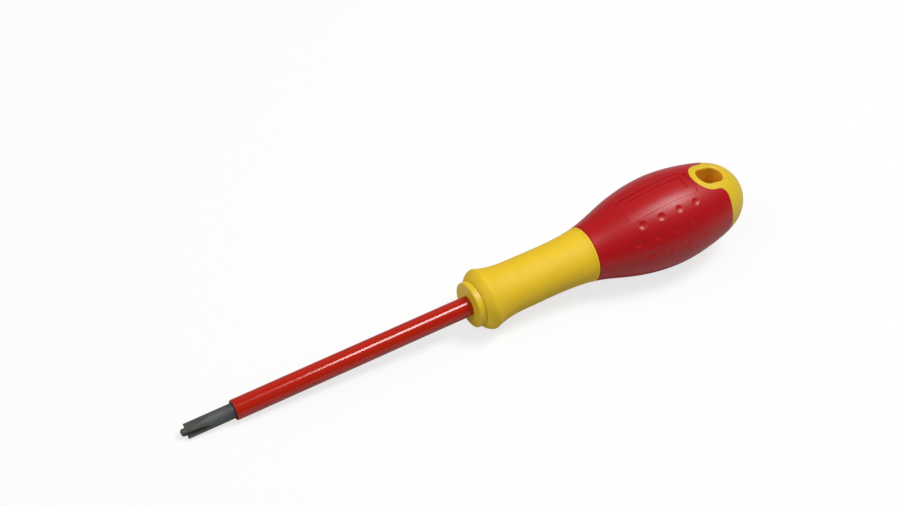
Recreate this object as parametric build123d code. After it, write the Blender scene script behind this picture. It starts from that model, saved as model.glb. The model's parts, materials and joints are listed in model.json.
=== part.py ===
from build123d import *
from math import atan2, cos, degrees, sin, sqrt
import os

# Insulated screwdriver, millimetres. It is drawn along X, with the handle's front face at x = 0,
# the blade towards -X, the handle towards +X and the hanging hole along Z. The last step lays it
# down as it rests on a bench, on the tip of the blade and the swell of the grip.

# blade: round tool-steel bar, combined slotted and cross tip, pressed anchor wings in the handle
BLADE_DIA = 5.0
BLADE_REACH = 102.4         # from the handle's front face to the end of the nose
NOSE_DIA = 2.5
NOSE_LENGTH = 1.6           # nose in front of the slotted shoulders
NOSE_CHAMFER = 0.4
CROSS_SETBACK = 1.2         # slope of the two cross wings behind the slotted shoulders
FLUTE_LENGTH = 11.0         # from the end of the nose to where a flute runs out
FLUTE_LEVEL = 1.2           # its level run before it climbs in an arc
FLUTE_CORNER = 0.35         # radius along the bottom of a flute
WING_THICKNESS = 1.0        # of a wing at the end of the nose
SLOT_ZONE = 2.4             # width of the slotted pair that keeps its square shoulders
DRIVE_ANGLE = -55.0         # from the hanging hole's axis to the slotted pair
ANCHOR_WIDTH = 9.0
ANCHOR_THICKNESS = 2.2
ANCHOR_LENGTH = 12.0
ANCHOR_SETBACK = 5.0        # from the front of the grip to the anchor wings
ANCHOR_INSET = 5.0          # from the anchor wings to the inner end of the bar

# insulation: rigid plastic tube moulded on the blade
SLEEVE_WALL = 0.9
TIP_EXPOSED = 17.7          # bare blade in front of the insulation
SLEEVE_ROOT_WALL = 0.6      # where the handle is moulded round it
SLEEVE_ROOT = 14.0          # depth inside the handle
SLEEVE_RIM = 0.2            # rounding of the front rim
MOUTH_GAP = 0.5             # round the blade in the mouth of the bore
MOUTH_DEPTH = 1.5

# handle body: hard plastic, nose collar, seat of the neck, core under the grip, solid rear end
COLLAR_DIA = 15.6
COLLAR_LENGTH = 2.3
COLLAR_ROUND = 0.5
GROOVE_WIDTH = 0.12         # between the collar and the neck
NECK_SEAT_DIA = 13.2

# neck: soft sleeve with a finger guard at its front
NECK_LENGTH = 42.9
NECK_FACE_DIA = 16.2        # small end of the guard's sloping front
GUARD_RISE = 3.2            # length of the sloping front
GUARD_BULGE = 0.35          # of the sloping front, out of a straight line
GUARD_DIA = 21.2
GUARD_ROUND = 1.7
GUARD_FALL = 7.1            # length over which the guard runs down into the neck
FLARE_DIA = 17.8            # at the end of that run
WAIST_RUN = 9.0             # from there to the waist
WAIST_DIA = 17.2
WAIST_LENGTH = 12.0         # nearly straight stretch behind the waist
NECK_REAR_DIA = 19.2
NECK_ROUND = 0.25
BAND_LENGTH = 1.0           # raised band round the neck's rear end
BAND_RISE = 0.12
NECK_JOINT = 0.05           # open joint between the neck and the grip

# swell: the outside that the soft grip shares with the rear end, as runs and the diameters they end at
SWELL_FRONT_DIA = 19.5
SWELL_FRONT_SLOPE = 0.2     # rise of the outline where the grip begins
RISE_RUN = 12.5
RISE_DIA = 26.6
CREST_RUN = 19.6
CREST_DIA = 32.4
FALL_RUN = 13.8
FALL_DIA = 29.1
TAIL_RUN = 11.3
TAIL_DIA = 21.2
DOME_LENGTH = 5.7
GRIP_THICKNESS = 2.6
GRIP_ROUND = 0.2            # front edge of the grip
MOULD_GAP = 0.02            # shrinkage between the grip and the hard plastic under it

# rear end: hard plastic shows along REAR_LENGTH and as a tab round the hanging hole
REAR_LENGTH = 11.0
HOLE_SETBACK = 13.7         # from the end of the handle to the middle of the hole
HOLE_LENGTH = 10.0
HOLE_WIDTH = 7.0
HOLE_CORNER = 3.3
HOLE_ROUND = 0.6            # of the hole's rims
TAB_FRONT_RIM = 2.5         # tab in front of the hole
TAB_SIDE_RIM = 2.6          # tab beside the hole
TAB_BLEND = 2.7

# bare label panel on the top of the grip
PANEL_LENGTH = 26.9
PANEL_WIDTH = 10.2
PANEL_DEPTH = 0.5
PANEL_BEVEL = 0.35          # of the panel's rim
PANEL_CORNER = 1.3
PANEL_TAB_GAP = 1.1         # from the panel to the tab behind it
FIELD_MARGIN = 2.3          # from the panel's edge to the field inside it
FIELD_DEPTH = 0.18          # deeper than the panel
FIELD_CORNER = 0.6

# dimples: staggered rows on one side above and on the other side below
DIMPLE_DIA = 2.7
DIMPLE_DEPTH = 0.28
DIMPLE_ROUND = 1.1          # of the dimples' rims
DIMPLE_SETBACK = 16.3       # from the front of the grip to the first dimple of the first row
DIMPLE_PITCH = 7.25
DIMPLE_COUNT = 4
DIMPLE_ROWS = 3
DIMPLE_FIRST_ANGLE = 30.4   # from the hole's axis to the first row
DIMPLE_ROW_STEP = 21.7

# inner core: first shot, moulded round the blade before the handle body
CORE_ROOT_LAP = 8.0         # length of the insulation's root that it holds
CORE_WALL = 1.7             # round that root
CORE_HOLE_WALL = 5.0        # from its end to the hanging hole
BODY_WALL = 2.8             # handle body between it and the grip
KEY_WIDTH = 2.0             # ring grooves that key the handle body to the core
KEY_DEPTH = 0.8
KEY_SETBACK = 3.0           # from the inner end of the bar to the first groove
KEY_PITCH = 6.5
KEY_COUNT = 2

LAY_SAMPLES = 600           # points along the swell when the resting angle is found
LAY_ROUNDS = 8
LAY_TOLERANCE = 0.01        # of the facets that find the nose end and the front's lowest point
EDGE_SLACK = 0.01           # when edges are picked by their place

# places along X that follow from the sizes
TIP_X = -BLADE_REACH
SLEEVE_X = TIP_X + TIP_EXPOSED
NECK_X = COLLAR_LENGTH + GROOVE_WIDTH
GRIP_X = NECK_X + NECK_LENGTH + NECK_JOINT
RISE_X = GRIP_X + RISE_RUN
CREST_X = RISE_X + CREST_RUN
FALL_X = CREST_X + FALL_RUN
TAIL_X = FALL_X + TAIL_RUN
HANDLE_LENGTH = TAIL_X + DOME_LENGTH
HOLE_X = HANDLE_LENGTH - HOLE_SETBACK
HOLE_FRONT_X = HOLE_X - HOLE_LENGTH / 2
TAB_X = HOLE_FRONT_X - TAB_FRONT_RIM
PANEL_X = TAB_X - PANEL_TAB_GAP - PANEL_LENGTH / 2
ANCHOR_X = GRIP_X + ANCHOR_SETBACK
BLADE_ROOT_X = ANCHOR_X + ANCHOR_LENGTH + ANCHOR_INSET

SLEEVE_DIA = BLADE_DIA + 2 * SLEEVE_WALL
SLEEVE_ROOT_DIA = BLADE_DIA + 2 * SLEEVE_ROOT_WALL
OVERSIZE = 2 * CREST_DIA    # more than any cut through the handle needs


def rod(diameter, start, end):
    """Round bar along X."""
    return extrude(Plane.YZ.offset(start) * Circle(diameter / 2), amount=end - start)


def at(x, radius=0.0):
    """A point of a half outline."""
    return Vector(x, radius, 0)


def turned(outline):
    """Solid turned about X from a closed half outline, with its seam at the side, clear of the hole."""
    return revolve(make_face(outline), axis=Axis.X, revolution_arc=360)


# blade

def flute():
    """One flute, as a wheel with a square edge leaves it."""
    root = WING_THICKNESS / sqrt(2)
    rise = BLADE_DIA / 2 - root
    wheel_radius = ((FLUTE_LENGTH - FLUTE_LEVEL) ** 2 + rise ** 2) / (2 * rise)
    along = Vector(1, 0, 0)
    across = Vector(0, 1, -1).normalized()
    outward = Vector(0, 1, 1).normalized()
    hub = at(TIP_X + FLUTE_LEVEL) + outward * (root + wheel_radius)
    plane = Plane(origin=hub - along * wheel_radius, x_dir=along + across, z_dir=outward * -1)
    square = plane * Rectangle(BLADE_DIA, BLADE_DIA, align=(Align.MIN, Align.MIN))
    edge = square.vertices().sort_by_distance(plane.origin)[0]
    return revolve(fillet(edge, FLUTE_CORNER), axis=Axis(hub, across), revolution_arc=360)


def cross_relief(shoulder):
    """What is taken off the two cross wings so that they slope back behind the slotted pair."""
    back = shoulder + CROSS_SETBACK
    cone = turned(Polyline(
        at(shoulder), at(shoulder, NOSE_DIA / 2), at(back, BLADE_DIA / 2), at(back), close=True))
    slotted = Pos(shoulder, 0, 0) * Box(4 * BLADE_DIA, SLOT_ZONE, 4 * BLADE_DIA)
    return rod(2 * BLADE_DIA, shoulder, back) - cone - slotted


def make_blade():
    shoulder = TIP_X + NOSE_LENGTH
    nose = rod(NOSE_DIA, TIP_X, shoulder + BLADE_DIA)
    nose = chamfer(nose.faces().sort_by(Axis.X)[0].edges(), NOSE_CHAMFER)
    bar = nose + (rod(BLADE_DIA, shoulder, BLADE_ROOT_X) - cross_relief(shoulder))
    for turn in range(4):
        bar -= Rot(90 * turn, 0, 0) * flute()
    anchor = Box(ANCHOR_LENGTH, ANCHOR_WIDTH, ANCHOR_THICKNESS)
    return Rot(DRIVE_ANGLE, 0, 0) * (bar + Pos(ANCHOR_X + ANCHOR_LENGTH / 2, 0, 0) * anchor)


# insulation on the blade

def make_blade_insulation():
    tube = rod(SLEEVE_DIA, SLEEVE_X, 0)
    tube = fillet(tube.faces().sort_by(Axis.X)[0].edges(), SLEEVE_RIM)
    mouth = rod(BLADE_DIA + 2 * MOUTH_GAP, SLEEVE_X, SLEEVE_X + MOUTH_DEPTH)
    return tube + sleeve_root() - rod(BLADE_DIA, SLEEVE_X, SLEEVE_ROOT) - mouth


def sleeve_root():
    """The insulation inside the handle, without its bore."""
    return rod(SLEEVE_ROOT_DIA, 0, SLEEVE_ROOT)


# outside of the handle

def swell_stations(inset):
    """Points of the swell's half outline, moved in by inset."""
    return [
        at(GRIP_X, SWELL_FRONT_DIA / 2 - inset), at(RISE_X, RISE_DIA / 2 - inset),
        at(CREST_X, CREST_DIA / 2 - inset), at(FALL_X, FALL_DIA / 2 - inset),
        at(TAIL_X, TAIL_DIA / 2 - inset),
    ]


def swell_line():
    """Half outline of the swell, from the front of the grip to the end of the handle."""
    slopes = [(1, SWELL_FRONT_SLOPE, 0), (0, -1, 0)]
    return Spline(*swell_stations(0), at(HANDLE_LENGTH), tangents=slopes)


def swell():
    return turned(swell_line() + Polyline(
        at(HANDLE_LENGTH), at(GRIP_X), at(GRIP_X, SWELL_FRONT_DIA / 2)))


def skin_radius(x):
    """Distance from the axis to the swell's skin at x."""
    ray = Line(at(x), at(x, OVERSIZE))
    return swell_line().intersect(ray).vertex().Y


def skin_edges(body, middle, length, width):
    """Edges on the swell's skin, above and below, in a rectangle of the plan."""
    found = []
    for edge in body.edges():
        p = edge @ 0.5
        inside = abs(p.X - middle) < length / 2 + EDGE_SLACK and abs(p.Y) < width / 2 + EDGE_SLACK
        if inside and sqrt(p.Y ** 2 + p.Z ** 2) > skin_radius(p.X) - EDGE_SLACK:
            found.append(edge)
    return found


def inside_swell(inset):
    """Solid under the swell's skin, moved in by inset, up to where the dome begins."""
    stations = swell_stations(inset)
    return turned(Spline(*stations) + Polyline(stations[-1], at(TAIL_X), at(GRIP_X), stations[0]))


def rear_plan():
    """Seen from above, everything of the swell that is hard plastic: the rear end and its tab."""
    width = HOLE_WIDTH + 2 * TAB_SIDE_RIM
    rear_x = HANDLE_LENGTH - REAR_LENGTH
    arc_x = TAB_X + width / 2
    rear = Pos(rear_x, 0) * Rectangle(OVERSIZE, OVERSIZE, align=(Align.MIN, Align.CENTER))
    strip = Pos(arc_x, 0) * Rectangle(OVERSIZE, width, align=(Align.MIN, Align.CENTER))
    plan = rear + strip + Pos(arc_x, 0) * Circle(width / 2)
    corners = [v for v in plan.vertices() if abs(v.X - rear_x) < EDGE_SLACK and abs(v.Y) < width]
    return fillet(corners, min(TAB_BLEND, rear_x - arc_x))


def rear_zone():
    return extrude(rear_plan(), amount=OVERSIZE, both=True)


# inner core

def core_envelope():
    """The first shot without the blade in it, with its keying grooves."""
    start = SLEEVE_ROOT - CORE_ROOT_LAP
    end = HOLE_FRONT_X - CORE_HOLE_WALL
    inset = GRIP_THICKNESS + BODY_WALL
    core = inside_swell(inset) & rod(OVERSIZE, start, end)
    core += rod(SLEEVE_ROOT_DIA + 2 * CORE_WALL, start, end)
    for index in range(KEY_COUNT):
        place = BLADE_ROOT_X + KEY_SETBACK + index * KEY_PITCH
        core -= rod(OVERSIZE, place, place + KEY_WIDTH) - inside_swell(inset + KEY_DEPTH)
    return core


def make_inner_core(blade):
    return core_envelope() - sleeve_root() - blade


# handle body

def hanging_hole():
    slot = Pos(HOLE_X, 0) * RectangleRounded(HOLE_LENGTH, HOLE_WIDTH, HOLE_CORNER)
    return extrude(slot, amount=OVERSIZE, both=True)


def make_handle_body():
    collar = rod(COLLAR_DIA, 0, COLLAR_LENGTH)
    collar = fillet(collar.faces().sort_by(Axis.X)[0].edges(), COLLAR_ROUND)
    body = collar + rod(NECK_SEAT_DIA, COLLAR_LENGTH, GRIP_X) + inside_swell(GRIP_THICKNESS)
    body += swell() & rear_zone()
    body -= hanging_hole()
    body = fillet(skin_edges(body, HOLE_X, HOLE_LENGTH, HOLE_WIDTH), HOLE_ROUND)
    return body - core_envelope() - sleeve_root()


# neck

def make_neck_sleeve():
    guard_x = NECK_X + GUARD_RISE
    flare_x = guard_x + GUARD_FALL
    waist_x = flare_x + WAIST_RUN
    end_x = NECK_X + NECK_LENGTH
    face = at(NECK_X, NECK_FACE_DIA / 2)
    guard = at(guard_x, GUARD_DIA / 2)
    band = at(end_x - BAND_LENGTH, NECK_REAR_DIA / 2 - BAND_RISE)
    rise = guard - face
    bulge = Vector(-rise.Y, rise.X).normalized() * GUARD_BULGE
    front = Line(at(NECK_X, NECK_SEAT_DIA / 2), face) + ThreePointArc(
        face, (face + guard) * 0.5 + bulge, guard)
    back = Spline(
        guard, at(flare_x, FLARE_DIA / 2), at(waist_x, WAIST_DIA / 2),
        at(waist_x + WAIST_LENGTH, WAIST_DIA / 2), band)
    rear = Polyline(
        band, at(band.X, NECK_REAR_DIA / 2), at(end_x, NECK_REAR_DIA / 2),
        at(end_x, NECK_SEAT_DIA / 2), at(NECK_X, NECK_SEAT_DIA / 2))
    neck = turned(front + back + rear)
    crest = neck.edges().filter_by(GeomType.CIRCLE).sort_by(SortBy.RADIUS)[-1]
    neck = fillet(crest, GUARD_ROUND)
    rim = neck.faces().sort_by(Axis.X)[-1].edges().sort_by(SortBy.RADIUS)[-1]
    return fillet(rim, NECK_ROUND)


# grip

def panel(margin, corner, depth):
    """Shallow recess over the top of the grip, its floor parallel to the skin."""
    plan = RectangleRounded(PANEL_LENGTH - 2 * margin, PANEL_WIDTH - 2 * margin, corner)
    return extrude(Pos(PANEL_X, 0) * plan, amount=OVERSIZE) - inside_swell(depth)


def dimple_cutters():
    """Balls sunk in the skin in staggered rows, their poles and seams clear of the dimples."""
    ball_radius = (DIMPLE_DIA ** 2 / 4 + DIMPLE_DEPTH ** 2) / (2 * DIMPLE_DEPTH)
    balls = []
    for row in range(DIMPLE_ROWS):
        angle = DIMPLE_FIRST_ANGLE + row * DIMPLE_ROW_STEP
        start = GRIP_X + DIMPLE_SETBACK - (row % 2) * DIMPLE_PITCH / 2
        for place in range(DIMPLE_COUNT):
            x = start + place * DIMPLE_PITCH
            sunk = Pos(x, 0, skin_radius(x) + ball_radius - DIMPLE_DEPTH) * Rot(0, -90, 0)
            for half in (0, 180):
                balls.append(Rot(half + angle, 0, 0) * sunk * Sphere(ball_radius))
    return balls


def make_grip():
    blank = swell()
    blank = fillet(blank.faces().sort_by(Axis.X)[0].edges(), GRIP_ROUND)
    blank = blank - inside_swell(GRIP_THICKNESS - MOULD_GAP) - rear_zone()
    blank -= panel(0, PANEL_CORNER, PANEL_DEPTH)
    blank = chamfer(skin_edges(blank, PANEL_X, PANEL_LENGTH, PANEL_WIDTH), PANEL_BEVEL)
    blank -= panel(FIELD_MARGIN, FIELD_CORNER, PANEL_DEPTH + FIELD_DEPTH)
    dimpled = blank - dimple_cutters()
    return fillet(new_edges(blank, combined=dimpled), DIMPLE_ROUND)


# laying the tool down

def resting_place(front):
    """Where the tool lies, level on its swell and on the lowest of the front pieces."""
    line = swell_line()
    swollen = [line @ (i / LAY_SAMPLES) for i in range(LAY_SAMPLES)]
    points = [p for solid in front for p in solid.tessellate(LAY_TOLERANCE)[0]]
    tilt = 0.0
    for _ in range(LAY_ROUNDS):
        low = min(swollen, key=lambda p: p.X * sin(tilt) - p.Y * cos(tilt))
        tilt = min(atan2(low.Y + p.Z, low.X - p.X) for p in points)
    level = low.X * sin(tilt) - low.Y * cos(tilt)
    nose = min(p.X * cos(tilt) - p.Z * sin(tilt) for p in points)
    rear = max(p.X * cos(tilt) + p.Y * sin(tilt) for p in swollen)
    print("rest tilt", round(degrees(tilt), 4))
    return Pos(-(nose + rear) / 2, 0, -level) * Rot(0, -degrees(tilt), 0)


def main():
    blade = make_blade()
    parts = {
        "blade": blade,
        "blade_insulation": make_blade_insulation(),
        "inner_core": make_inner_core(blade),
        "handle_body": make_handle_body(),
        "neck_sleeve": make_neck_sleeve(),
        "grip": make_grip(),
    }
    place = resting_place([parts["blade"], parts["blade_insulation"], parts["neck_sleeve"]])
    os.makedirs("parts", exist_ok=True)
    for name, solid in parts.items():
        export_step(place * solid, f"parts/{name}.step")
    for label, x in (("nose end", TIP_X), ("handle face", 0), ("hole centre", HOLE_X)):
        print(label, [round(v, 3) for v in (place * Pos(x, 0, 0)).position])


main()
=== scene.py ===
import json
import math

import bmesh
import bpy
from mathutils import Matrix, Vector


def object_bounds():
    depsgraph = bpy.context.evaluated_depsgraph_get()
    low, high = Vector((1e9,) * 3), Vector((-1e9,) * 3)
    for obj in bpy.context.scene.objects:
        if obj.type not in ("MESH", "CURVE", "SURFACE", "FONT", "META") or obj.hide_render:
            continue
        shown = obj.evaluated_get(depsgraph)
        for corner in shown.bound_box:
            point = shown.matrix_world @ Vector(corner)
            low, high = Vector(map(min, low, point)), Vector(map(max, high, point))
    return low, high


bl_info = {
    "name": "Insulated Screwdriver",
    "version": (1, 0, 0),
    "blender": (4, 5, 0),
    "location": "3D View > Sidebar > Screwdriver",
    "description": "Finishes the pieces of an insulated screwdriver and sets a studio round it",
    "category": "Object",
}

MM = 0.001
SENSOR_WIDTH = 36.0
CLIP_START = 10 * MM
CLIP_END = 100.0
PLASTIC_IOR = 1.47
POLYAMIDE_IOR = 1.53
POLYPROPYLENE_IOR = 1.49
MIX_SHARE, MIX_FIRST, MIX_SECOND = 0, 6, 7      # a Mix node's inputs for colours
MIX_RESULT = 2                                  # and its output for them
NOISE_SPAN = (0.3, 0.7)     # the values that most of a noise pattern keeps to
PATCH_SPAN = (0.35, 0.7)    # the values over which it turns from the colour to the shade
OXIDE_SHADE = (0.9, 1.1)    # how much darker and lighter the patches in the oxide are
MARK_STRETCH = 8            # the length of a grinding mark over its width
TIP_TINT = (0.3, 0.55)      # where the tip's tint ends, as shares of the bare length
ROOT_TINT = (0.6, 1.0)      # where the root's tint begins
GLOW_EDGE = (0.1 * MM, 0.5 * MM)    # where the painted glow on the hole's walls ends, outside them

# name, azimuth and elevation in degrees, distance, length and width in metres, and watts
LAMPS = [
    ("key_softbox", 78.0, 67.0, 1.0, 0.5, 0.32, 7.6),
    ("back_softbox", 160.0, 35.0, 1.2, 1.0, 0.8, 0.5),
    ("left_softbox", -92.0, 38.0, 1.2, 1.4, 1.2, 7.5),
]

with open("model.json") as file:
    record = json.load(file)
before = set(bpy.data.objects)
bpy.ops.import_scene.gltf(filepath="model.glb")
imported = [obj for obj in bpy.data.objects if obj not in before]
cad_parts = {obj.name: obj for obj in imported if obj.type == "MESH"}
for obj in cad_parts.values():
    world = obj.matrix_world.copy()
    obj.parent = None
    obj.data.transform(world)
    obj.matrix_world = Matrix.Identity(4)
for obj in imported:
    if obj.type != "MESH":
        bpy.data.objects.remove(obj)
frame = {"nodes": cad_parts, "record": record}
cad_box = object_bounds()


def linear(hex_colour):
    """The linear red, green and blue of an sRGB hex colour."""
    values = [int(hex_colour[i:i + 2], 16) / 255 for i in (1, 3, 5)]
    return [v / 12.92 if v <= 0.04045 else ((v + 0.055) / 1.055) ** 2.4 for v in values]


def colour_property(name, description, hex_colour):
    """A colour setting, with an sRGB hex colour as its default."""
    return bpy.props.FloatVectorProperty(
        name=name, description=description, subtype="COLOR", size=3, min=0.0, max=1.0,
        default=linear(hex_colour))


def length_property(name, description, millimetres):
    """A length setting, with its default in millimetres."""
    return bpy.props.FloatProperty(
        name=name, description=description, unit="LENGTH", min=0.0, default=millimetres * MM)


def share_property(name, description, default):
    """A setting from 0 to 1."""
    return bpy.props.FloatProperty(
        name=name, description=description, subtype="FACTOR", min=0.0, max=1.0, default=default)


def angle_property(name, description, degrees):
    """An angle setting, with its default in degrees."""
    return bpy.props.FloatProperty(
        name=name, description=description, subtype="ANGLE", default=math.radians(degrees))


class BladeSettings(bpy.types.PropertyGroup):
    colour: colour_property("Colour", "Blackened steel at the tip", "#50514C")
    middle: colour_property("Middle colour", "Blackened steel behind the flutes", "#555858")
    root: colour_property("Root colour", "Blackened steel beside the insulation", "#4F4C4C")
    bare_length: length_property("Bare length", "Of the blade in front of the insulation", 17.7)
    metal: share_property("Metal", "Share of bare metal that shines through the oxide", 0.2)
    roughness: share_property("Roughness", "Of the blackened surface", 0.57)
    grind: length_property("Grind", "Spacing of the grinding marks", 1.2)
    relief: length_property("Relief", "Depth of the grinding marks", 0.02)
    blotch: length_property("Blotch", "Size of the patches in the oxide", 5.0)


class InsulationSettings(bpy.types.PropertyGroup):
    colour: colour_property("Colour", "Red polyamide", "#BC1C02")
    shade: colour_property("Shade", "Red where the melt flowed last", "#B81B02")
    roughness: share_property("Roughness", "Of the polished mould", 0.145)
    ripple: length_property("Ripple", "Spacing of the flow ripples", 6.0)


class BodySettings(bpy.types.PropertyGroup):
    colour: colour_property("Colour", "Yellow polypropylene", "#E6C324")
    shade: colour_property("Shade", "Yellow in the flow patches", "#E1BF23")
    roughness: share_property("Roughness", "Of the satin mould", 0.42)
    flow: length_property("Flow", "Size of the flow patches", 9.0)
    grain: length_property("Grain", "Spacing of the eroded grain", 0.4)
    relief: length_property("Relief", "Depth of the eroded grain", 0.01)
    # painted glow: a lighter, more orange yellow for the hole's walls, in place of the light that
    # bounces in the hole and comes through its thin walls
    painted_hole_glow: colour_property("Hole colour", "Yellow of the hanging hole's walls", "#F9C035")
    hole_length: length_property("Hole length", "Of the hanging hole", 10.0)
    hole_width: length_property("Hole width", "Of the hanging hole", 7.0)


class NeckSettings(bpy.types.PropertyGroup):
    colour: colour_property("Colour", "Yellow thermoplastic rubber", "#F0C71A")
    shade: colour_property("Shade", "Yellow in the flow patches", "#EBC319")
    roughness: share_property("Roughness", "Of the matt rubber", 0.62)
    flow: length_property("Flow", "Size of the flow patches", 7.0)
    grain: length_property("Grain", "Spacing of the eroded grain", 0.35)
    relief: length_property("Relief", "Depth of the eroded grain", 0.02)


class GripSettings(bpy.types.PropertyGroup):
    colour: colour_property("Colour", "Red thermoplastic rubber", "#B6020C")
    shade: colour_property("Shade", "Red in the flow patches", "#B2020C")
    roughness: share_property("Roughness", "Of the satin rubber", 0.37)
    flow: length_property("Flow", "Size of the flow patches", 8.0)
    grain: length_property("Grain", "Spacing of the eroded grain", 0.35)
    relief: length_property("Relief", "Depth of the eroded grain", 0.02)


class CoreSettings(bpy.types.PropertyGroup):
    colour: colour_property("Colour", "Uncoloured polypropylene", "#D9CFA8")
    roughness: share_property("Roughness", "Of the plain mould", 0.5)
    flow: length_property("Flow", "Size of the flow patches", 6.0)
    relief: length_property("Relief", "Depth of the flow patches", 0.05)


class StageSettings(bpy.types.PropertyGroup):
    floor_colour: colour_property("Floor", "White paper as the camera sees it", "#F8F8F8")
    floor_bounce: colour_property("Floor bounce", "What the paper throws back", "#BEBEBE")
    floor_size: length_property("Floor size", "Side of the square floor", 6000.0)
    floor_glow: share_property("Floor glow", "Share of plain white in what the camera sees", 0.75)
    world_colour: colour_property("Room", "Light of the room", "#FFFFFF")
    world_strength: bpy.props.FloatProperty(
        name="Room strength", description="Of the light of the room", min=0.0, default=0.12)
    azimuth: angle_property("Azimuth", "Of the camera, from the front towards +X", -37.77)
    elevation: angle_property("Elevation", "Of the camera above the floor", 46.88)
    roll: angle_property("Roll", "Of the camera, its right side up", 9.057)
    distance: length_property("Distance", "From the camera to the point it aims at", 582.34)
    lens: bpy.props.FloatProperty(
        name="Lens", description="Focal length of the camera", unit="CAMERA", default=72.12)
    aim: bpy.props.FloatVectorProperty(
        name="Aim", description="Point that the camera looks at", subtype="TRANSLATION",
        default=(-3.833 * MM, 12.834 * MM, 23.308 * MM))


def add(tree, kind, inputs=None, **settings):
    """Adds a node. Settings are its own properties, inputs its sockets' values or links."""
    node = tree.nodes.new(kind)
    for name, value in settings.items():
        setattr(node, name, value)
    for name, value in (inputs or {}).items():
        if isinstance(value, bpy.types.NodeSocket):
            tree.links.new(value, node.inputs[name])
        else:
            node.inputs[name].default_value = value
    return node


def opaque(colour):
    """A colour property as the four values of a colour socket."""
    return (*colour, 1.0)


def new_material(name):
    """An empty node material and its tree."""
    material = bpy.data.materials.new(name)
    material.use_nodes = True
    material.node_tree.nodes.clear()
    return material, material.node_tree


def patched_colour(tree, pattern, settings):
    """The colour, turning to the shade in the patches of a noise pattern."""
    patches = add(tree, "ShaderNodeMapRange", {
        "Value": pattern, "From Min": PATCH_SPAN[0], "From Max": PATCH_SPAN[1]})
    return add(tree, "ShaderNodeMix", {
        MIX_SHARE: patches.outputs["Result"], MIX_FIRST: opaque(settings.colour),
        MIX_SECOND: opaque(settings.shade)}, data_type="RGBA").outputs[MIX_RESULT]


def add_surface(tree, settings, pattern, inputs, below, above, span=NOISE_SPAN, bump=0.0):
    """Ends a tree in a Principled surface with these inputs. A noise pattern takes its
    roughness this far below and above the setting, and gives it relief of this strength."""
    roughness = add(tree, "ShaderNodeMapRange", {
        "Value": pattern, "From Min": span[0], "From Max": span[1],
        "To Min": settings.roughness - below, "To Max": settings.roughness + above})
    shader = add(tree, "ShaderNodeBsdfPrincipled", {
        "Roughness": roughness.outputs["Result"], **inputs})
    if bump:
        relief = add(tree, "ShaderNodeBump", {
            "Height": pattern, "Strength": bump, "Distance": settings.relief})
        tree.links.new(relief.outputs["Normal"], shader.inputs["Normal"])
    add(tree, "ShaderNodeOutputMaterial", {"Surface": shader.outputs["BSDF"]})


def finish_node(name, material):
    """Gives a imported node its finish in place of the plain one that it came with."""
    materials = frame["nodes"][name].data.materials
    materials.clear()
    materials.append(material)


def black_oxide_steel(settings):
    # Chrome vanadium steel, ground round and then blackened in hot salts. The eye gets a dark,
    # oily metal with soft highlights, faint marks along the bar and a tint that turns from
    # green-black at the tip over blue-grey to brown beside the insulation.
    material, tree = new_material("black_oxide_tool_steel")
    place = add(tree, "ShaderNodeTexCoord").outputs["Object"]
    patches = add(tree, "ShaderNodeTexNoise", {
        "Vector": place, "Scale": 1 / settings.blotch, "Detail": 2.0})
    along = add(tree, "ShaderNodeMapping", {
        "Vector": place, "Scale": (1 / MARK_STRETCH, 1.0, 1.0)})
    marks = add(tree, "ShaderNodeTexNoise", {
        "Vector": along.outputs["Vector"], "Scale": 1 / settings.grind, "Detail": 1.0})
    x = add(tree, "ShaderNodeSeparateXYZ", {"Vector": place}).outputs["X"]
    tip = cad_box[0][0]
    # the tint of the tip turns to that of the middle, and that one to the root's
    tint = opaque(settings.colour)
    for (start, end), colour in ((TIP_TINT, settings.middle), (ROOT_TINT, settings.root)):
        turn = add(tree, "ShaderNodeMapRange", {
            "Value": x, "From Min": tip + start * settings.bare_length,
            "From Max": tip + end * settings.bare_length}, interpolation_type="SMOOTHSTEP")
        tint = add(tree, "ShaderNodeMix", {
            MIX_SHARE: turn.outputs["Result"], MIX_FIRST: tint, MIX_SECOND: opaque(colour)},
            data_type="RGBA").outputs[MIX_RESULT]
    shade = add(tree, "ShaderNodeMapRange", {
        "Value": patches.outputs["Fac"], "From Min": NOISE_SPAN[0], "From Max": NOISE_SPAN[1],
        "To Min": OXIDE_SHADE[0], "To Max": OXIDE_SHADE[1]})
    shaded = add(tree, "ShaderNodeVectorMath", {
        0: tint, "Scale": shade.outputs["Result"]}, operation="SCALE")
    add_surface(
        tree, settings, marks.outputs["Fac"],
        {"Base Color": shaded.outputs["Vector"], "Metallic": settings.metal},
        below=0.04, above=0.05, bump=0.2)
    return material


def gloss_polyamide(settings):
    # Polyamide moulded on the bar in a polished mould. The eye gets a sharp, smooth line of
    # light, a little wider where the melt flowed less evenly round the steel.
    material, tree = new_material("gloss_red_polyamide")
    place = add(tree, "ShaderNodeTexCoord").outputs["Object"]
    ripple = add(tree, "ShaderNodeTexNoise", {
        "Vector": place, "Scale": 1 / settings.ripple, "Detail": 0.0}).outputs["Fac"]
    colour = patched_colour(tree, ripple, settings)
    add_surface(
        tree, settings, ripple, {"Base Color": colour, "IOR": POLYAMIDE_IOR},
        below=0.02, above=0.02)
    return material


def natural_polypropylene(settings):
    # Uncoloured polypropylene, moulded plain as the first shot round the blade. The eye gets
    # a milky, slightly waxy cream.
    material, tree = new_material("natural_polypropylene")
    place = add(tree, "ShaderNodeTexCoord").outputs["Object"]
    flow = add(tree, "ShaderNodeTexNoise", {
        "Vector": place, "Scale": 1 / settings.flow, "Detail": 2.0}).outputs["Fac"]
    add_surface(
        tree, settings, flow,
        {"Base Color": opaque(settings.colour), "IOR": POLYPROPYLENE_IOR},
        below=0.1, above=0.1, span=(0.0, 1.0), bump=0.2)
    return material


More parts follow.
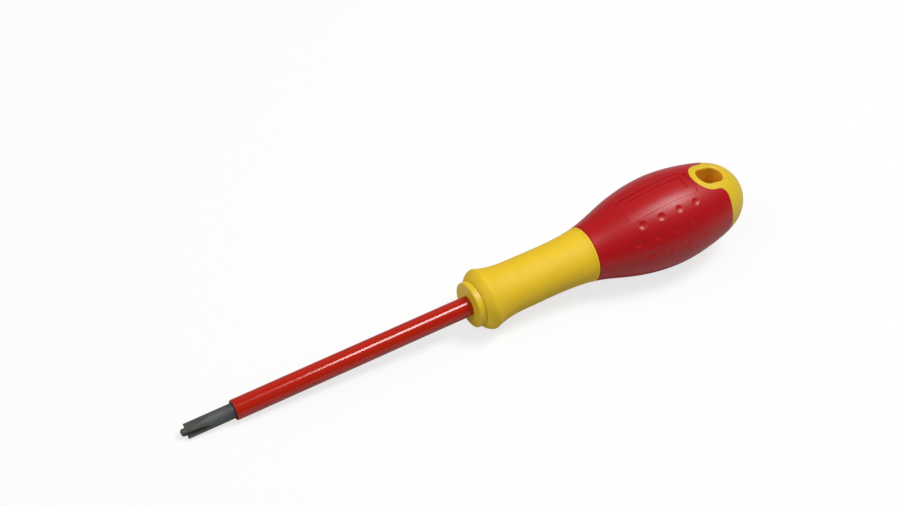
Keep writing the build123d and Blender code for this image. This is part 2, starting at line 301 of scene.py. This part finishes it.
def hole_glow_share(tree, place, settings):
    """The share of a point that gets the painted glow of the hanging hole's walls, 1 on the walls
    and 0 from their rounded rims outwards. The hole counts as a slot with round ends, and its
    width is along Y."""
    mount = next(m for m in frame["record"]["mounts"] if m["name"] == "hanging_hole")
    axis = Vector(mount["axis"])
    from_centre = add(tree, "ShaderNodeVectorMath", {
        0: place, 1: mount["pos_m"]}, operation="SUBTRACT").outputs["Vector"]
    lengthwise = add(tree, "ShaderNodeVectorMath", {
        0: from_centre, 1: (axis.z, 0, -axis.x)}, operation="DOT_PRODUCT")
    lengthwise = add(tree, "ShaderNodeMath", {
        0: lengthwise.outputs["Value"]}, operation="ABSOLUTE")
    beyond = add(tree, "ShaderNodeMath", {
        0: lengthwise.outputs[0], 1: (settings.hole_length - settings.hole_width) / 2},
        operation="SUBTRACT", use_clamp=True)
    across = add(tree, "ShaderNodeSeparateXYZ", {"Vector": from_centre})
    reach = add(tree, "ShaderNodeCombineXYZ", {
        "X": beyond.outputs[0], "Y": across.outputs["Y"]})
    reach = add(tree, "ShaderNodeVectorMath", {
        0: reach.outputs["Vector"]}, operation="LENGTH")
    wall = settings.hole_width / 2
    return add(tree, "ShaderNodeMapRange", {
        "Value": reach.outputs["Value"], "From Min": wall + GLOW_EDGE[0],
        "From Max": wall + GLOW_EDGE[1], "To Min": 1.0, "To Max": 0.0}).outputs["Result"]


def moulded_plastic(name, settings, with_painted_hole_glow=False):
    # What the moulded plastic and the two moulded rubbers have in common: broad, faint patches
    # where the melt flowed, and the fine grain of an eroded mould, drawn a little coarser than
    # the real one so that it shows.
    material, tree = new_material(name)
    place = add(tree, "ShaderNodeTexCoord").outputs["Object"]
    flow = add(tree, "ShaderNodeTexNoise", {
        "Vector": place, "Scale": 1 / settings.flow, "Detail": 2.0, "Distortion": 0.4})
    grain = add(tree, "ShaderNodeTexNoise", {
        "Vector": place, "Scale": 1 / settings.grain, "Detail": 2.0})
    colour = patched_colour(tree, flow.outputs["Fac"], settings)
    if with_painted_hole_glow:
        # painted glow: a lighter, more orange yellow on the hanging hole's walls, in place of the
        # light that bounces in the hole
        colour = add(tree, "ShaderNodeMix", {
            MIX_SHARE: hole_glow_share(tree, place, settings), MIX_FIRST: colour,
            MIX_SECOND: opaque(settings.painted_hole_glow)}, data_type="RGBA").outputs[MIX_RESULT]
    add_surface(
        tree, settings, grain.outputs["Fac"], {"Base Color": colour, "IOR": PLASTIC_IOR},
        below=0.04, above=0.05, bump=0.4)
    return material


class SCREWDRIVER_OT_blade(bpy.types.Operator):
    """Finishes the blade in blackened steel"""
    bl_idname = "screwdriver.blade"
    bl_label = "Blade"

    def execute(self, context):
        finish_node("blade", black_oxide_steel(context.scene.screwdriver_blade))
        return {"FINISHED"}


class SCREWDRIVER_OT_insulation(bpy.types.Operator):
    """Finishes the blade's insulation in gloss red polyamide"""
    bl_idname = "screwdriver.insulation"
    bl_label = "Blade insulation"

    def execute(self, context):
        finish_node("blade_insulation", gloss_polyamide(context.scene.screwdriver_insulation))
        return {"FINISHED"}


class SCREWDRIVER_OT_core(bpy.types.Operator):
    """Finishes the hidden inner core in natural polypropylene"""
    bl_idname = "screwdriver.core"
    bl_label = "Inner core"

    def execute(self, context):
        finish_node("inner_core", natural_polypropylene(context.scene.screwdriver_core))
        return {"FINISHED"}


class SCREWDRIVER_OT_body(bpy.types.Operator):
    """Finishes the handle body in satin yellow polypropylene"""
    bl_idname = "screwdriver.body"
    bl_label = "Handle body"

    def execute(self, context):
        # Hard yellow polypropylene with a satin skin. The eye gets wide, soft highlights, and a
        # painted glow in the hanging hole: a more orange yellow on its walls, standing in for the
        # light that bounces there and comes through the thin walls.
        settings = context.scene.screwdriver_body
        finish_node("handle_body", moulded_plastic(
            "satin_yellow_polypropylene", settings, with_painted_hole_glow=True))
        return {"FINISHED"}


class SCREWDRIVER_OT_neck(bpy.types.Operator):
    """Finishes the neck sleeve in matt yellow thermoplastic rubber"""
    bl_idname = "screwdriver.neck"
    bl_label = "Neck sleeve"

    def execute(self, context):
        # Soft thermoplastic rubber from a matt mould. The eye gets an even yellow that shades
        # round the neck with hardly any highlight.
        settings = context.scene.screwdriver_neck
        finish_node("neck_sleeve", moulded_plastic("matt_yellow_rubber", settings))
        return {"FINISHED"}


class SCREWDRIVER_OT_grip(bpy.types.Operator):
    """Finishes the grip in satin red thermoplastic rubber"""
    bl_idname = "screwdriver.grip"
    bl_label = "Grip"

    def execute(self, context):
        # Soft thermoplastic rubber, a little smoother than the neck's. The eye gets a deep red
        # with one hazy band of light along the swell and small glints in the dimples.
        settings = context.scene.screwdriver_grip
        finish_node("grip", moulded_plastic("satin_red_rubber", settings))
        return {"FINISHED"}


def white_paper(settings):
    # Matt white paper. To the camera it is nearly as bright as the plain white round it, and
    # it still takes the object's soft shadow. The light that it throws back at the object is
    # that of a light grey sheet.
    material, tree = new_material("white_paper")
    seen = add(tree, "ShaderNodeLightPath").outputs["Is Camera Ray"]
    colour = add(tree, "ShaderNodeMix", {
        MIX_SHARE: seen, MIX_FIRST: opaque(settings.floor_bounce),
        MIX_SECOND: opaque(settings.floor_colour)}, data_type="RGBA").outputs[MIX_RESULT]
    share = add(tree, "ShaderNodeMath", {0: seen, 1: settings.floor_glow},
                operation="MULTIPLY")
    paper = add(tree, "ShaderNodeBsdfDiffuse", {"Color": colour})
    glow = add(tree, "ShaderNodeEmission", {"Color": (1, 1, 1, 1), "Strength": 1.0})
    mixed = add(tree, "ShaderNodeMixShader", {
        0: share.outputs[0], 1: paper.outputs["BSDF"], 2: glow.outputs["Emission"]})
    add(tree, "ShaderNodeOutputMaterial", {"Surface": mixed.outputs["Shader"]})
    return material


def add_floor(settings):
    """The square floor that the object lies on."""
    mesh = bpy.data.meshes.new("floor")
    grid = bmesh.new()
    bmesh.ops.create_grid(grid, x_segments=1, y_segments=1, size=settings.floor_size / 2)
    grid.to_mesh(mesh)
    grid.free()
    mesh.materials.append(white_paper(settings))
    floor = bpy.data.objects.new("floor", mesh)
    bpy.context.scene.collection.objects.link(floor)


def direction(azimuth, elevation):
    """Unit vector at that azimuth from the front, towards +X, and elevation above the floor."""
    return Vector((
        math.sin(azimuth) * math.cos(elevation),
        -math.cos(azimuth) * math.cos(elevation),
        math.sin(elevation)))


def place_facing(name, data, aim, back, side, distance):
    """Puts a lamp or camera at this distance from the point that it faces."""
    turn = Matrix((side, back.cross(side), back)).transposed().to_4x4()
    thing = bpy.data.objects.new(name, data)
    thing.matrix_world = Matrix.Translation(Vector(aim) + back * distance) @ turn
    bpy.context.scene.collection.objects.link(thing)
    return thing


def add_softbox(aim, name, azimuth, elevation, distance, length, width, power):
    """A rectangular lamp that faces aim, its length as near along X as that allows."""
    lamp = bpy.data.lights.new(name, "AREA")
    lamp.shape = "RECTANGLE"
    lamp.size = length
    lamp.size_y = width
    lamp.energy = power
    back = direction(math.radians(azimuth), math.radians(elevation))
    side = (Vector((1, 0, 0)) - back * back.x).normalized()
    place_facing(name, lamp, aim, back, side, distance)


def add_camera(settings):
    """The camera, at its angle and distance from the point that it aims at."""
    data = bpy.data.cameras.new("camera")
    data.sensor_fit = "HORIZONTAL"
    data.sensor_width = SENSOR_WIDTH
    data.lens = settings.lens
    data.clip_start = CLIP_START
    data.clip_end = CLIP_END
    back = direction(settings.azimuth, settings.elevation)
    level = Vector((0, 0, 1)).cross(back).normalized()
    side = Matrix.Rotation(settings.roll, 3, back) @ level
    bpy.context.scene.camera = place_facing(
        "camera", data, settings.aim, back, side, settings.distance)


def add_room(settings):
    """The even light of the room."""
    world = bpy.data.worlds.new("room")
    world.use_nodes = True
    tree = world.node_tree
    tree.nodes.clear()
    room = add(tree, "ShaderNodeBackground", {
        "Color": opaque(settings.world_colour), "Strength": settings.world_strength})
    add(tree, "ShaderNodeOutputWorld", {"Surface": room.outputs["Background"]})
    bpy.context.scene.world = world


class SCREWDRIVER_OT_stage(bpy.types.Operator):
    """Sets the white floor, the soft lamps, the room's light and the camera"""
    bl_idname = "screwdriver.stage"
    bl_label = "Stage"

    def execute(self, context):
        settings = context.scene.screwdriver_stage
        add_floor(settings)
        middle = (cad_box[0] + cad_box[1]) / 2
        for lamp in LAMPS:
            add_softbox(middle, *lamp)
        add_camera(settings)
        add_room(settings)
        context.scene.view_settings.view_transform = "Standard"
        return {"FINISHED"}


class VIEW3D_PT_screwdriver(bpy.types.Panel):
    """Lists the pieces of the screwdriver and its stage"""
    bl_label = "Insulated Screwdriver"
    bl_space_type = "VIEW_3D"
    bl_region_type = "UI"
    bl_category = "Screwdriver"

    def draw(self, context):
        for name, operator, _ in STEPS:
            box = self.layout.box()
            box.operator(operator.bl_idname)
            settings = getattr(context.scene, name)
            for field in settings.__annotations__:
                box.prop(settings, field)


STEPS = [
    ("screwdriver_blade", SCREWDRIVER_OT_blade, BladeSettings),
    ("screwdriver_insulation", SCREWDRIVER_OT_insulation, InsulationSettings),
    ("screwdriver_core", SCREWDRIVER_OT_core, CoreSettings),
    ("screwdriver_body", SCREWDRIVER_OT_body, BodySettings),
    ("screwdriver_neck", SCREWDRIVER_OT_neck, NeckSettings),
    ("screwdriver_grip", SCREWDRIVER_OT_grip, GripSettings),
    ("screwdriver_stage", SCREWDRIVER_OT_stage, StageSettings),
]


def register():
    for name, operator, group in STEPS:
        bpy.utils.register_class(group)
        bpy.utils.register_class(operator)
        setattr(bpy.types.Scene, name, bpy.props.PointerProperty(type=group))
    bpy.utils.register_class(VIEW3D_PT_screwdriver)


def unregister():
    bpy.utils.unregister_class(VIEW3D_PT_screwdriver)
    for name, operator, group in reversed(STEPS):
        delattr(bpy.types.Scene, name)
        bpy.utils.unregister_class(operator)
        bpy.utils.unregister_class(group)


def main():
    register()
    bpy.ops.screwdriver.blade()
    bpy.ops.screwdriver.insulation()
    bpy.ops.screwdriver.core()
    bpy.ops.screwdriver.body()
    bpy.ops.screwdriver.neck()
    bpy.ops.screwdriver.grip()
    bpy.ops.screwdriver.stage()


if __name__ == "__main__":
    main()
